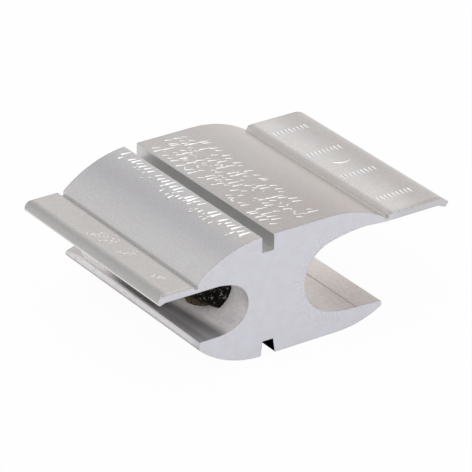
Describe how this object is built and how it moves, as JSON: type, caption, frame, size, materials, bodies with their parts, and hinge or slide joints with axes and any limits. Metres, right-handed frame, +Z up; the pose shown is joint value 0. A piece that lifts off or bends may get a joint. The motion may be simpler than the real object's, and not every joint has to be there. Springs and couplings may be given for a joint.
{
  "type": "compression tap connector",
  "caption": "One-piece aluminium extrusion with two open conductor grooves back to back, fold-over tabs and a bead of joint compound, crimped to join a tap wire to a run wire.",
  "frame": {"origin": "centre of the overall box, on the plane of the flat base", "axes": "+X from the tap groove to the run groove, +Y along the conductors, +Z up through the crown"},
  "size_m": [0.0796, 0.057, 0.0301],
  "materials": {
    "extruded_aluminium": "satin as extruded, sawn ends",
    "joint_compound": "wet and gritty"
  },
  "bodies": {
    "root": {"tap_body": "extruded_aluminium", "inhibitor_bead": "joint_compound"}
  },
  "joints": []
}
